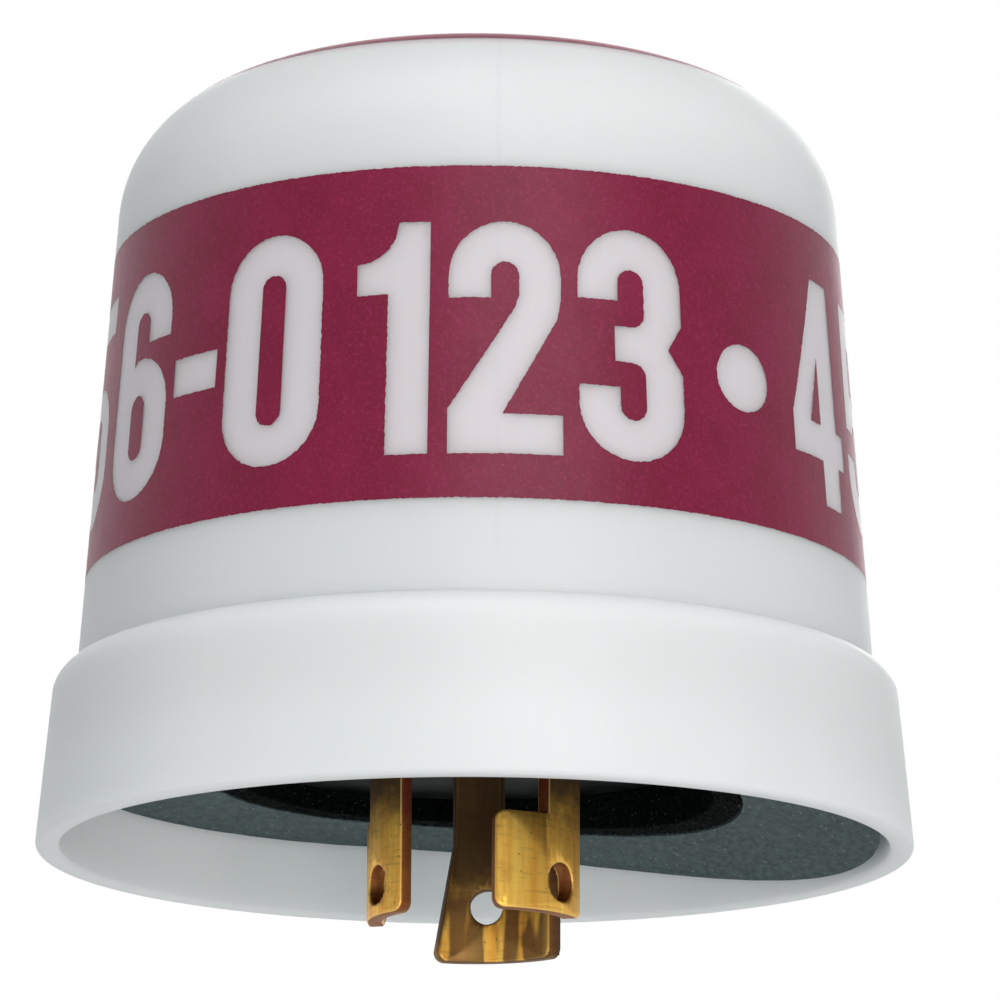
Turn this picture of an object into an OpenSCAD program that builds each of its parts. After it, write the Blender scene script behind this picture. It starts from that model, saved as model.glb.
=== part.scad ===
// Twist-lock photocell switch: a moulded cover over a plug-in base with three curved brass blades.
// The origin is on the axis, level with the lip of the skirt, and the blades reach below it.

/* [Cover] */
// Diameter over the lip of the skirt
rim_d = 84; // [75:0.5:96]
// Height from the lip to the flat top
cover_h = 74.4; // [68:0.2:90]
// Wall thickness of the moulding
wall = 2.3; // [1.8:0.1:2.8]
// Radius of the rounded lip
lip_r = 0.5; // [0.4:0.1:0.85]
// Height of the shoulder above the lip
skirt_h = 17.4; // [16:0.2:22]
// Lean of the skirt wall from upright, in degrees
skirt_draft = 5.1; // [2:0.1:7]
// Radius of the round on the shoulder
shoulder_r = 2.8; // [2.4:0.1:4]
// Step from the skirt in to the body at the shoulder
shoulder_step = 2.1; // [1.6:0.1:2.4]
// Lean of the body wall from upright, in degrees
body_draft = 3.9; // [1:0.1:5]
// Radius of the round between the body and the flat top
crown_r = 12.7; // [6:0.1:18]
// Height of the bead that the base snaps over
bead_r = 0.5; // [0.3:0.05:0.6]
// Width of the two keys that stop the base from turning
key_w = 4; // [3:0.5:8]
// How far a key reaches in from the skirt wall
key_depth = 1.6; // [1:0.1:2.5]

/* [Base] */
// Thickness of the base plate
base_t = 5.5; // [4:0.1:6.5]
// Clearance between the base plate and the cover
base_gap = 0.15; // [0.05:0.05:0.3]
// Distance of the board posts in from the board's edge
post_inset = 4; // [3.5:0.1:6]
// Diameter of a board post
post_d = 6; // [5:0.1:7]
// Height of the board posts above the base plate
post_h = 9; // [7:0.5:14]
// Pilot hole for a screw
pilot_d = 2.2; // [1.8:0.1:2.6]
// Thickness of the base plate's ribs
rib_t = 2; // [1.2:0.1:3]
// Height of the base plate's ribs
rib_h = 3.5; // [2:0.1:5]

/* [Gasket] */
// Outer diameter of the foam ring
foam_d = 50.8; // [44:0.2:58]
// Radial width of the foam ring
foam_w = 2.6; // [1.5:0.1:5]
// Height of the foam ring on its flat side
foam_h = 2.3; // [1.6:0.1:3]
// Thickness of the fibre washer
washer_t = 0.8; // [0.5:0.1:1]
// Gap between the washer and the foam ring
washer_gap = 0.3; // [0.1:0.05:0.5]
// Depth of the washer's underside below the base plate
washer_drop = 2.3; // [1.6:0.1:2.8]
// Radius to which the washer is bowed on one side
bow_r = 118; // [110:1:300]
// Direction in which the washer bows down, in degrees from the right towards the back
bow_turn = 16; // [0:1:90]

/* [Blades] */
// Diameter of the circle at the middle of the blades' thickness
blade_circle_d = 19; // [17:0.1:22]
// Thickness of the blades
blade_t = 1.6; // [1.2:0.1:2]
// Width of a line or load blade's shank, along its curve
shank_w = 5.7; // [4.6:0.1:6.2]
// Width of the neutral blade's shank, along its curve
neutral_shank_w = 4.8; // [4.2:0.1:6.2]
// Reach of a line or load blade's locking tab past the shank
tab_w = 5.4; // [3:0.1:6.5]
// Reach of the neutral blade's locking tab past the shank
neutral_tab_w = 6.3; // [4:0.1:7]
// Height of the locking tabs' upper edge above the lip of the skirt
tab_top = 2.7; // [1:0.1:4]
// How far the line and load blades reach below the lip
blade_drop = 6.6; // [6:0.1:10]
// How far the neutral blade reaches below the lip
neutral_drop = 9; // [7:0.1:12]
// How far the neutral blade flares out at its lower end
flare_w = 1.8; // [0.6:0.1:2.4]
// Diameter of the hole in the line and load blades
hole_d = 3.7; // [2:0.1:4.2]
// Diameter of the hole in the neutral blade
neutral_hole_d = 3.4; // [2:0.1:4.2]
// Distance of the line and load blades' holes from their trailing edge
hole_inset = 3.9; // [3.2:0.1:5]
// Distance of the neutral blade's hole from its trailing edge
neutral_hole_inset = 3.3; // [3:0.1:5]
// Depth of the blades' holes below the lip
hole_drop = 3.6; // [3:0.1:4.5]
// Radius of a blade's outer corners
corner_r = 1; // [0.4:0.1:1.4]
// Turn of the line blade's trailing edge from the front
line_turn = 77.5; // [70:0.5:85]
// Clearance round a blade in its slot
slot_gap = 0.1; // [0.05:0.01:0.2]
// Width of the ears that rest on the base plate, each side of the shank
ear_w = 0.8; // [0.5:0.1:1]
// Height of the ears
ear_h = 1.6; // [1:0.1:2.4]
// Width of a blade's solder tail
tail_w = 2.4; // [1.6:0.1:3.6]

/* [Clamp plate] */
// Diameter of the clamp plate
clamp_d = 30; // [26:0.5:34]
// Thickness of the clamp plate
clamp_t = 2; // [1.5:0.1:3]
// Diameter of the boss under the clamp plate
boss_d = 9; // [7:0.5:10]

/* [Board] */
// Clearance between the circuit board's edge and the cover
board_gap = 2.6; // [1:0.1:3.2]
// Thickness of the circuit board
board_t = 1.6; // [1:0.1:2]
// Diameter of the parts' leads
lead_d = 0.6; // [0.5:0.05:0.8]
// Diameter of the relay's pins
pin_d = 1; // [0.8:0.05:1.2]
// Clearance round a lead in the board
lead_gap = 0.1; // [0.05:0.01:0.2]
// Length of a lead below the board
lead_tail = 1.2; // [1:0.1:2]
// Height of a solder joint
solder_h = 0.8; // [0.5:0.1:1]
// Spread of a solder joint past its lead
solder_w = 0.6; // [0.3:0.05:0.8]
// Diameter of a screw's head
head_d = 5; // [4:0.1:5.6]
// Height of a screw's head
head_h = 1.8; // [1.2:0.1:2.4]
// Length of a screw under its head
screw_l = 7; // [5:0.5:8]

/* [Board parts] */
// Length, width and height of the relay
relay_size = [19, 15, 15.6]; // [12:0.1:20]
// Length, width and height of the film capacitor
film_size = [18, 8, 14.5]; // [6:0.1:18]
// Diameter of the smoothing capacitor
can_d = 10; // [8:0.1:11]
// Height of the smoothing capacitor
can_h = 16; // [10:0.5:25]
// Diameter of the surge arrester
disc_d = 14; // [10:0.5:16]
// Thickness of the surge arrester
disc_t = 4.4; // [3:0.1:5]
// Diameter of a rectifier diode
diode_d = 2.7; // [2:0.1:3]
// Length of a rectifier diode
diode_l = 5.2; // [4:0.1:6]
// Diameter of the zener diode
zener_d = 1.9; // [1.5:0.1:2.4]
// Length of the zener diode
zener_l = 3.8; // [3:0.1:4.4]
// Diameter of a signal resistor
resistor_d = 2.4; // [1.8:0.1:2.8]
// Length of a signal resistor
resistor_l = 6.3; // [5:0.1:7]
// Diameter of the dropper resistor
dropper_d = 4.5; // [3:0.1:5]
// Length of the dropper resistor
dropper_l = 11; // [8:0.1:12]
// Diameter of the transistor's round back
transistor_d = 4.8; // [4:0.1:5.2]
// Height of the transistor's body
transistor_h = 4.8; // [4:0.1:6]
// Diameter of the photocell
cell_d = 11; // [8:0.5:12]
// Thickness of the photocell
cell_t = 2.6; // [1.8:0.1:3]
// Height of the photocell's centre above the board
cell_rise = 20; // [14:0.5:24]
// Width of the photocell stand
stand_w = 12; // [12:0.1:14]
// Thickness of the photocell stand's wall
stand_t = 2.4; // [1.6:0.1:3]

/* [Hidden] */
$fn = 96;
// Overlap that lets a cut run cleanly past a face
past = 0.5;

// Heights of the stacked pieces
ledge_z = skirt_h - wall;
base_z = ledge_z - base_t;
ear_top = ledge_z + ear_h;
clamp_top = ear_top + clamp_t;
board_z = ledge_z + post_h;
board_top = board_z + board_t;
lead_end = board_z - lead_tail;
washer_z = base_z - washer_drop;
foam_z = base_z - foam_h;

// Cover outline: wall radii by height, and the centres of its rounds
function skirt_out(z) = rim_d / 2 - z * tan(skirt_draft);
function skirt_in(z) = skirt_out(z) - wall / cos(skirt_draft);
function body_out(z) = skirt_out(skirt_h) - shoulder_step - (z - skirt_h) * tan(body_draft);
function body_in(z) = body_out(z) - wall / cos(body_draft);
function on_circle(r, a) = r * [cos(a), sin(a)];
function arc(c, r, a0, a1, n) = [for (i = [0:n]) c + on_circle(r, a0 + (a1 - a0) * i / n)];
lip_reach = lip_r / cos(skirt_draft);
shoulder_z = skirt_h - shoulder_r;
shoulder_x = skirt_out(shoulder_z) - shoulder_r / cos(skirt_draft);
shoulder_rise = (body_out(shoulder_z) - shoulder_x) * cos(body_draft) / shoulder_r;
shoulder_end = min(90, body_draft + acos(shoulder_rise));
crown_z = cover_h - crown_r;
crown_x = body_out(crown_z) - crown_r / cos(body_draft);
bead_z = base_z - bead_r - base_gap / 2;
key_turns = [45, 225];
board_r = body_in(board_z) - board_gap;
post_circle_r = board_r - post_inset;
lip_steps = 8;
crown_steps = 24;

// Blades: angles are from the front towards the right
blade_in = (blade_circle_d - blade_t) / 2;
blade_out = (blade_circle_d + blade_t) / 2;
blade_step_deg = 120;
load_turn = line_turn - blade_step_deg;
function bend(w) = w / (blade_circle_d / 2) * 180 / PI;
neutral_turn = line_turn + blade_step_deg - bend(shank_w - neutral_shank_w);
ear_deg = bend(ear_w);
tail_deg = bend(tail_w);
tail_top = board_top + lead_tail;
// Share of a corner's radius by which its centre is set in, and the overrun of a cut
corner_bite = 0.9;
margin_deg = 3;
shanks = [[line_turn, bend(shank_w)], [load_turn, bend(shank_w)], [neutral_turn, bend(neutral_shank_w)]];

// Board layout: centres of the parts as shares of the board's radius, and the pitch of their leads
function on_board(x, y) = board_r * [x, y];
post_turns = [90, 210, 330];
relay_at = on_board(-0.515, 0.273);
relay_pins = [[-7.5, -6], [-7.5, 6], [5, -6], [5, 6], [7.5, 0]];
film_at = on_board(0.424, 0.576);
film_pitch = 15;
can_at = on_board(0.697, 0.152);
can_pitch = 5;
disc_at = on_board(0.364, -0.606);
disc_pitch = 7.5;
disc_lift = 1.5;
diodes_at = on_board(-0.303, -0.303);
diode_step = -3.5;
diode_count = 4;
diode_pitch = 10;
zener_at = on_board(0, -0.424);
zener_pitch = 7.6;
resistors_at = [on_board(-0.606, -0.076), on_board(-0.606, -0.197), on_board(-0.364, 0.636)];
resistor_pitch = 10.2;
dropper_at = on_board(0.409, 0.158);
dropper_pitch = 15.2;
transistor_at = on_board(-0.03, 0.576);
transistor_pitch = 1.3;
transistor_lift = 3;
cell_at = on_board(0, -0.788);
cell_pitch = 7;
cell_set = 3;
stand_foot = 5;
body_lift = 0.2;
bend_r = 0.8;
chamfer = 0.6;
peg_d = 1.6;
peg_pitch = 8;

function pair(at, turn, pitch) = [for (s = [-1, 1]) at + on_circle(s * pitch / 2, turn)];
diode_points = [for (i = [0:diode_count - 1]) diodes_at + [0, i * diode_step]];
lead_points = concat(
    pair(film_at, 0, film_pitch),
    pair(can_at, 90, can_pitch),
    pair(disc_at, 0, disc_pitch),
    [for (p = diode_points) each pair(p, 0, diode_pitch)],
    pair(zener_at, 90, zener_pitch),
    [for (p = resistors_at) each pair(p, 0, resistor_pitch)],
    pair(dropper_at, 90, dropper_pitch),
    [for (i = [-1:1]) transistor_at + [i * transistor_pitch, 0]],
    pair(cell_at + [0, cell_set], 0, cell_pitch));
pin_points = [for (p = relay_pins) relay_at + p];
peg_points = pair(cell_at + [0, -stand_t], 0, peg_pitch);
post_points = [for (a = post_turns) on_circle(post_circle_r, a)];

// Part of an upright ring between two angles and two heights
module sector(r0, r1, a0, a1, z0, z1) {
    rotate([0, 0, a0 - 90])
        rotate_extrude(angle = a1 - a0)
            translate([r0, z0])
                square([r1 - r0, z1 - z0]);
}

// Round bar that points out from the axis at an angle and a height
module spoke(a, z, r) {
    rotate([0, 0, a - 90])
        translate([blade_in - 2 * past, 0, z])
            rotate([0, 90, 0])
                cylinder(r = r, h = blade_t + 4 * past);
}

// Cut right through a blade's wall between two angles and two heights
module wedge(a0, a1, z0, z1) {
    sector(blade_in - past, blade_out + past, a0, a1, z0, z1);
}

// What a rounded corner takes off: side and rise point from the corner into the blade
module corner_cut(a, z, side, rise) {
    inner_a = a + side * bend(corner_r * corner_bite);
    outer_a = a - side * margin_deg;
    inner_z = z + rise * corner_r * corner_bite;
    outer_z = z - rise * past;
    difference() {
        wedge(min(inner_a, outer_a), max(inner_a, outer_a), min(inner_z, outer_z), max(inner_z, outer_z));
        spoke(inner_a, inner_z, corner_r);
    }
}

// Blade bent to the circle: locking tab, shank with a hole, ears on the base plate and a solder tail.
// A flare widens it below the tab's upper edge.
module blade(turn, shank, drop, tab, bore_d, inset, flare) {
    shank_deg = bend(shank);
    lead = turn - shank_deg;
    tip = lead - bend(tab);
    heel = turn + bend(flare);
    middle = turn - shank_deg / 2;
    front = tip - margin_deg;
    back = heel + ear_deg + 2 * margin_deg;
    top = tail_top + past;
    flare_span = drop + tab_top;
    difference() {
        sector(blade_in, blade_out, tip, heel + ear_deg + margin_deg, -drop, tail_top);
        wedge(front, lead, tab_top, ledge_z);
        wedge(front, lead - ear_deg, ledge_z - past, top);
        wedge(lead - 2 * ear_deg, middle - tail_deg / 2, ear_top, top);
        wedge(turn, back, flare > 0 ? tab_top : -drop - past, ledge_z);
        wedge(turn + ear_deg, back, ledge_z - past, top);
        wedge(middle + tail_deg / 2, turn + 2 * ear_deg, ear_top, top);
        if (flare > 0) {
            rotate([0, 0, turn - 90])
                translate([0, 0, tab_top])
                    rotate([atan(flare / flare_span), 0, 0])
                        translate([0, 0, -2 * flare_span])
                            cube([2 * blade_out, blade_out, 2 * flare_span]);
        }
        corner_cut(tip, tab_top, 1, -1);
        corner_cut(tip, -drop, 1, 1);
        corner_cut(heel, -drop, -1, 1);
        spoke(turn - bend(inset), -hole_drop, bore_d / 2);
    }
}

// Slots for the blades: as wide as the tails, or as each shank
module blade_slots(tails, z0, z1) {
    gap_deg = bend(slot_gap);
    for (s = shanks) {
        middle = s[0] - s[1] / 2;
        width_deg = tails ? tail_deg : s[1];
        sector(blade_in - slot_gap, blade_out + slot_gap, middle - width_deg / 2 - gap_deg,
               middle + width_deg / 2 + gap_deg, z0, z1);
    }
}

// Space over the bowed sheet: flat on one side, a large cylinder on the other
module over_bow(z, h) {
    reach = rim_d;
    rotate([0, 0, bow_turn]) {
        translate([-reach, -reach, z])
            cube([reach, 2 * reach, h]);
        difference() {
            translate([0, -reach, z - reach / 2])
                cube([reach, 2 * reach, reach / 2 + h]);
            translate([0, reach + past, z - bow_r])
                rotate([90, 0, 0])
                    cylinder(r = bow_r, h = 2 * (reach + past), $fn = 180);
        }
    }
}

// Box with its twelve edges cut off
module chamfer_box(size, c) {
    module face(a, b) {
        polygon([[c - a / 2, -b / 2], [a / 2 - c, -b / 2], [a / 2, c - b / 2], [a / 2, b / 2 - c],
                 [a / 2 - c, b / 2], [c - a / 2, b / 2], [-a / 2, b / 2 - c], [-a / 2, c - b / 2]]);
    }
    translate([0, 0, size[2] / 2])
        intersection() {
            linear_extrude(size[2], center = true) face(size[0], size[1]);
            rotate([90, 0, 0]) linear_extrude(size[1], center = true) face(size[0], size[2]);
            rotate([90, 0, 90]) linear_extrude(size[0], center = true) face(size[1], size[2]);
        }
}

// Straight lead from under the board up to a height
module lead(p, top, d) {
    translate([p[0], p[1], lead_end])
        cylinder(d = d, h = top - lead_end);
}

// Two bent leads that come out of the ends of a lying part
module bent_leads(at, turn, pitch, z) {
    for (side = [0, 180]) {
        translate([at[0], at[1], 0])
            rotate([0, 0, turn + side]) {
                translate([0, 0, z])
                    rotate([0, 90, 0])
                        cylinder(d = lead_d, h = pitch / 2 - bend_r);
                translate([pitch / 2 - bend_r, 0, z - bend_r])
                    rotate([90, 0, 0])
                        rotate_extrude(angle = 90)
                            translate([bend_r, 0])
                                circle(d = lead_d);
                translate([pitch / 2, 0, lead_end])
                    cylinder(d = lead_d, h = z - bend_r - lead_end);
            }
    }
}

// Lying round part with plain ends
module lying_body(at, turn, z, d, l) {
    translate([at[0], at[1], z])
        rotate([0, 90, turn])
            cylinder(d = d, h = l, center = true);
}

// Lying resistor with thicker capped ends
module resistor(at, turn, pitch, d, l) {
    z = board_top + d / 2 + body_lift;
    cap_l = l / 5;
    waist_d = d * 0.84;
    lying_body(at, turn, z, waist_d, l - cap_l);
    for (s = [-1, 1]) {
        cap_at = at + on_circle(s * (l - cap_l) / 2, turn);
        lying_body(cap_at, turn, z, d, cap_l);
    }
    bent_leads(at, turn, pitch, z);
}

// Screw with a flat round head and a cross recess, from the seat of its head
module screw(l) {
    recess_w = head_d / 7;
    recess_l = head_d * 0.6;
    recess_h = head_h / 2;
    difference() {
        cylinder(d = head_d, h = head_h);
        for (a = [0, 90]) {
            rotate([0, 0, a])
                translate([-recess_l / 2, -recess_w / 2, head_h - recess_h])
                    cube([recess_l, recess_w, head_h]);
        }
    }
    translate([0, 0, -l])
        cylinder(d = pilot_d - lead_gap, h = l);
}

module cover() {
    outside = concat(
        arc([skirt_out(lip_r) - lip_reach, lip_r], lip_r, -90, skirt_draft, lip_steps),
        arc([shoulder_x, shoulder_z], shoulder_r, skirt_draft, shoulder_end, lip_steps),
        arc([crown_x, crown_z], crown_r, body_draft, 90, crown_steps));
    inside = concat(
        arc([crown_x, crown_z], crown_r - wall, 90, body_draft, crown_steps),
        [[body_in(ledge_z), ledge_z], [skirt_in(ledge_z), ledge_z]],
        arc([skirt_in(bead_z), bead_z], bead_r, 90, 270, lip_steps),
        arc([skirt_in(lip_r) + lip_reach, lip_r], lip_r, 180 + skirt_draft, 270, lip_steps));
    color("white") {
        rotate_extrude()
            polygon(concat(outside, [[0, cover_h], [0, cover_h - wall]], inside));
        for (a = key_turns) {
            rotate([0, 0, a])
                translate([skirt_in(ledge_z) - key_depth, -key_w / 2, base_z + base_gap])
                    cube([key_depth + wall / 2, key_w, base_t]);
        }
    }
}

module base_plate() {
    foot_r = skirt_in(base_z) - base_gap;
    head_r = skirt_in(ledge_z) - base_gap;
    notch_x = skirt_in(ledge_z) - key_depth - base_gap;
    notch_w = key_w + 2 * base_gap;
    color([0.13, 0.14, 0.15])
        difference() {
            union() {
                translate([0, 0, base_z])
                    cylinder(r1 = foot_r, r2 = head_r, h = base_t);
                translate([0, 0, ledge_z - past])
                    cylinder(d = boss_d, h = ear_h + past);
                for (p = post_points) {
                    translate([p[0], p[1], ledge_z - past])
                        cylinder(d = post_d, h = post_h + past);
                }
                for (a = post_turns) {
                    rotate([0, 0, a])
                        translate([clamp_d / 2 + past, -rib_t / 2, ledge_z - past])
                            cube([post_circle_r - clamp_d / 2 - past, rib_t, rib_h + past]);
                }
            }
            blade_slots(false, base_z - past, ledge_z + past);
            for (p = post_points) {
                translate([p[0], p[1], board_z - screw_l])
                    cylinder(d = pilot_d, h = screw_l + past);
            }
            translate([0, 0, clamp_top - screw_l])
                cylinder(d = pilot_d, h = screw_l);
            for (a = key_turns) {
                rotate([0, 0, a])
                    translate([notch_x, -notch_w / 2, base_z - past])
                        cube([2 * wall + key_depth, notch_w, base_t + 2 * past]);
            }
        }
}

module fibre_washer() {
    washer_in = foam_d / 2 + washer_gap;
    washer_out = skirt_in(washer_z) - washer_gap;
    color([0.25, 0.29, 0.29])
        intersection() {
            difference() {
                over_bow(washer_z, washer_t);
                translate([0, 0, washer_t])
                    over_bow(washer_z, rim_d);
            }
            difference() {
                translate([0, 0, -rim_d / 2])
                    cylinder(r = washer_out, h = rim_d);
                translate([0, 0, -rim_d / 2 - past])
                    cylinder(r = washer_in, h = rim_d + 2 * past);
            }
        }
}

module foam_gasket() {
    color([0.06, 0.07, 0.07])
        intersection() {
            over_bow(foam_z, foam_h);
            difference() {
                translate([0, 0, foam_z - rim_d / 4])
                    cylinder(d = foam_d, h = foam_h + rim_d / 4);
                translate([0, 0, foam_z - rim_d / 4 - past])
                    cylinder(d = foam_d - 2 * foam_w, h = foam_h + rim_d / 4 + 2 * past);
            }
        }
}

module line_blade() {
    color([0.78, 0.6, 0.25]) blade(line_turn, shank_w, blade_drop, tab_w, hole_d, hole_inset, 0);
}

module load_blade() {
    color([0.78, 0.6, 0.25]) blade(load_turn, shank_w, blade_drop, tab_w, hole_d, hole_inset, 0);
}

module neutral_blade() {
    color([0.78, 0.6, 0.25])
        blade(neutral_turn, neutral_shank_w, neutral_drop, neutral_tab_w, neutral_hole_d,
              neutral_hole_inset, flare_w);
}

module clamp_plate() {
    color([0.55, 0.42, 0.28])
        difference() {
            translate([0, 0, ear_top])
                cylinder(d = clamp_d, h = clamp_t);
            blade_slots(true, ear_top - past, clamp_top + past);
            translate([0, 0, ear_top - past])
                cylinder(d = pilot_d + 2 * lead_gap, h = clamp_t + 2 * past);
        }
}

module clamp_screw() {
    color("silver")
        translate([0, 0, clamp_top])
            screw(screw_l);
}

module circuit_board() {
    color([0.1, 0.32, 0.2])
        difference() {
            translate([0, 0, board_z])
                cylinder(r = board_r, h = board_t);
            blade_slots(true, board_z - past, board_top + past);
            for (p = lead_points) {
                translate([p[0], p[1], board_z - past])
                    cylinder(d = lead_d + 2 * lead_gap, h = board_t + 2 * past, $fn = 24);
            }
            for (p = pin_points) {
                translate([p[0], p[1], board_z - past])
                    cylinder(d = pin_d + 2 * lead_gap, h = board_t + 2 * past, $fn = 24);
            }
            for (p = post_points) {
                translate([p[0], p[1], board_z - past])
                    cylinder(d = pilot_d + 2 * lead_gap, h = board_t + 2 * past);
            }
            for (p = peg_points) {
                translate([p[0], p[1], board_z - past])
                    cylinder(d = peg_d + 2 * lead_gap, h = board_t + 2 * past);
            }
        }
}

module board_screws() {
    color("silver")
        for (p = post_points) {
            translate([p[0], p[1], board_top])
                screw(screw_l - past);
        }
}

module relay() {
    color([0.1, 0.22, 0.5]) {
        translate([relay_at[0], relay_at[1], board_top])
            chamfer_box(relay_size, chamfer);
        for (p = pin_points) {
            lead(p, board_top + past, pin_d);
        }
    }
}

module surge_arrester() {
    edge_r = disc_t / 2;
    rise = board_top + disc_lift + disc_d / 2;
    color([0.15, 0.35, 0.6]) {
        translate([disc_at[0], disc_at[1], rise])
            rotate([90, 0, 0])
                rotate_extrude() {
                    translate([0, -edge_r])
                        square([disc_d / 2 - edge_r, disc_t]);
                    intersection() {
                        translate([disc_d / 2 - edge_r, 0])
                            circle(r = edge_r);
                        translate([0, -edge_r])
                            square([disc_d, disc_t]);
                    }
                }
        for (p = pair(disc_at, 0, disc_pitch)) {
            lead(p, rise, lead_d);
        }
    }
}

module film_capacitor() {
    color([0.75, 0.62, 0.2]) {
        translate([film_at[0], film_at[1], board_top])
            chamfer_box(film_size, chamfer);
        for (p = pair(film_at, 0, film_pitch)) {
            lead(p, board_top + past, lead_d);
        }
    }
}

module smoothing_capacitor() {
    groove_z = can_h / 8;
    color([0.12, 0.14, 0.3]) {
        translate([can_at[0], can_at[1], board_top])
            rotate_extrude()
                difference() {
                    polygon([[0, 0], [can_d / 2, 0], [can_d / 2, can_h - chamfer],
                             [can_d / 2 - chamfer, can_h], [0, can_h]]);
                    translate([can_d / 2 + chamfer / 2, groove_z])
                        circle(r = chamfer, $fn = 32);
                }
        for (p = pair(can_at, 90, can_pitch)) {
            lead(p, board_top + past, lead_d);
        }
    }
}

module bridge_diodes() {
    z = board_top + diode_d / 2 + body_lift;
    color([0.12, 0.12, 0.12])
        for (p = diode_points) {
            lying_body(p, 0, z, diode_d, diode_l);
            bent_leads(p, 0, diode_pitch, z);
        }
}

module zener_diode() {
    z = board_top + zener_d / 2 + body_lift;
    color([0.7, 0.35, 0.15]) {
        lying_body(zener_at, 90, z, zener_d, zener_l);
        bent_leads(zener_at, 90, zener_pitch, z);
    }
}

module signal_resistors() {
    color([0.8, 0.7, 0.5])
        for (p = resistors_at) {
            resistor(p, 0, resistor_pitch, resistor_d, resistor_l);
        }
}

module dropper_resistor() {
    color([0.45, 0.55, 0.5])
        resistor(dropper_at, 90, dropper_pitch, dropper_d, dropper_l);
}

module transistor() {
    flat_y = transistor_d / 4;
    color([0.1, 0.1, 0.1]) {
        translate([transistor_at[0], transistor_at[1], board_top + transistor_lift])
            difference() {
                cylinder(d = transistor_d, h = transistor_h);
                translate([-transistor_d, -transistor_d - flat_y, -past])
                    cube([2 * transistor_d, transistor_d, transistor_h + 2 * past]);
            }
        for (i = [-1:1]) {
            lead(transistor_at + [i * transistor_pitch, 0], board_top + transistor_lift + past, lead_d);
        }
    }
}

module photocell() {
    z = board_top + cell_rise;
    color([0.7, 0.55, 0.3]) {
        translate([cell_at[0], cell_at[1] - stand_t, z])
            rotate([90, 0, 0])
                cylinder(d = cell_d, h = cell_t);
        for (p = pair(cell_at + [0, cell_set], 0, cell_pitch)) {
            translate([p[0], p[1] - bend_r, z])
                rotate([90, 0, 0])
                    cylinder(d = lead_d, h = cell_set + stand_t - bend_r + past);
            translate([p[0], p[1] - bend_r, z - bend_r])
                rotate([90, 0, 90])
                    rotate_extrude(angle = 90)
                        translate([bend_r, 0])
                            circle(d = lead_d);
            lead(p, z - bend_r, lead_d);
        }
    }
}

module photocell_stand() {
    top = cell_rise + cell_d / 2;
    color([0.85, 0.85, 0.82])
        difference() {
            union() {
                translate([cell_at[0] - stand_w / 2, cell_at[1] - stand_t, board_top])
                    cube([stand_w, stand_t, top]);
                translate([cell_at[0] - stand_w / 2, cell_at[1] - stand_foot, board_top])
                    cube([stand_w, stand_foot, stand_t]);
                for (p = peg_points) {
                    translate([p[0], p[1], board_z])
                        cylinder(d = peg_d, h = board_t + past);
                }
            }
            for (p = pair(cell_at, 0, cell_pitch)) {
                translate([p[0], p[1] + past, board_top + cell_rise])
                    rotate([90, 0, 0])
                        cylinder(d = lead_d + 2 * lead_gap, h = stand_t + 2 * past, $fn = 24);
            }
        }
}

module solder_joint(p, d) {
    difference() {
        translate([p[0], p[1], board_z - solder_h])
            cylinder(d1 = d + solder_w / 2, d2 = d + 2 * solder_w, h = solder_h, $fn = 24);
        translate([p[0], p[1], board_z - solder_h - past])
            cylinder(d = d, h = solder_h + 2 * past, $fn = 24);
    }
}

module solder_joints() {
    color([0.75, 0.76, 0.78]) {
        for (p = lead_points) {
            solder_joint(p, lead_d);
        }
        for (p = pin_points) {
            solder_joint(p, pin_d);
        }
    }
}

cover();
base_plate();
fibre_washer();
foam_gasket();
line_blade();
load_blade();
neutral_blade();
clamp_plate();
clamp_screw();
circuit_board();
board_screws();
relay();
surge_arrester();
film_capacitor();
smoothing_capacitor();
bridge_diodes();
zener_diode();
signal_resistors();
dropper_resistor();
transistor();
photocell();
photocell_stand();
solder_joints();
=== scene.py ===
import math

import bmesh
import bpy
from mathutils import Matrix, Vector, noise


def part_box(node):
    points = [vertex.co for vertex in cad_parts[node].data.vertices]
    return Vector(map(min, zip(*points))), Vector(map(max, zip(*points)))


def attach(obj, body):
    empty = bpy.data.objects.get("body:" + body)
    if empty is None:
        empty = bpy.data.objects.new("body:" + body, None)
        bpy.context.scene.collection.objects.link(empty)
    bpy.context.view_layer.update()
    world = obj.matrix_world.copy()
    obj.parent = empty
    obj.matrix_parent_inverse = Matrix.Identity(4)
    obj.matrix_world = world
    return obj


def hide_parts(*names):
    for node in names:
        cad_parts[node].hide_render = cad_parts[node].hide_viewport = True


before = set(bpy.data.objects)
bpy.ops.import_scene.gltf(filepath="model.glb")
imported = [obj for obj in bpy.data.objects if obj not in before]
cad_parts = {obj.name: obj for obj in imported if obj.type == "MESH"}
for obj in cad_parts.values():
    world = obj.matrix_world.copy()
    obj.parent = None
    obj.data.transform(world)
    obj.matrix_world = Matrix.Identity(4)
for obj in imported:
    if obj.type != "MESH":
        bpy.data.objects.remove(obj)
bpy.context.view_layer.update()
scene = bpy.context.scene
scene.view_settings.view_transform = "Standard"
mm = 0.001  # pieces are drawn in millimetres and scaled once they are whole
print("frame loaded:", len(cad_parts), "nodes")


# Shader maths: a wire is one socket, and an expression on wires adds its Math nodes

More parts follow.
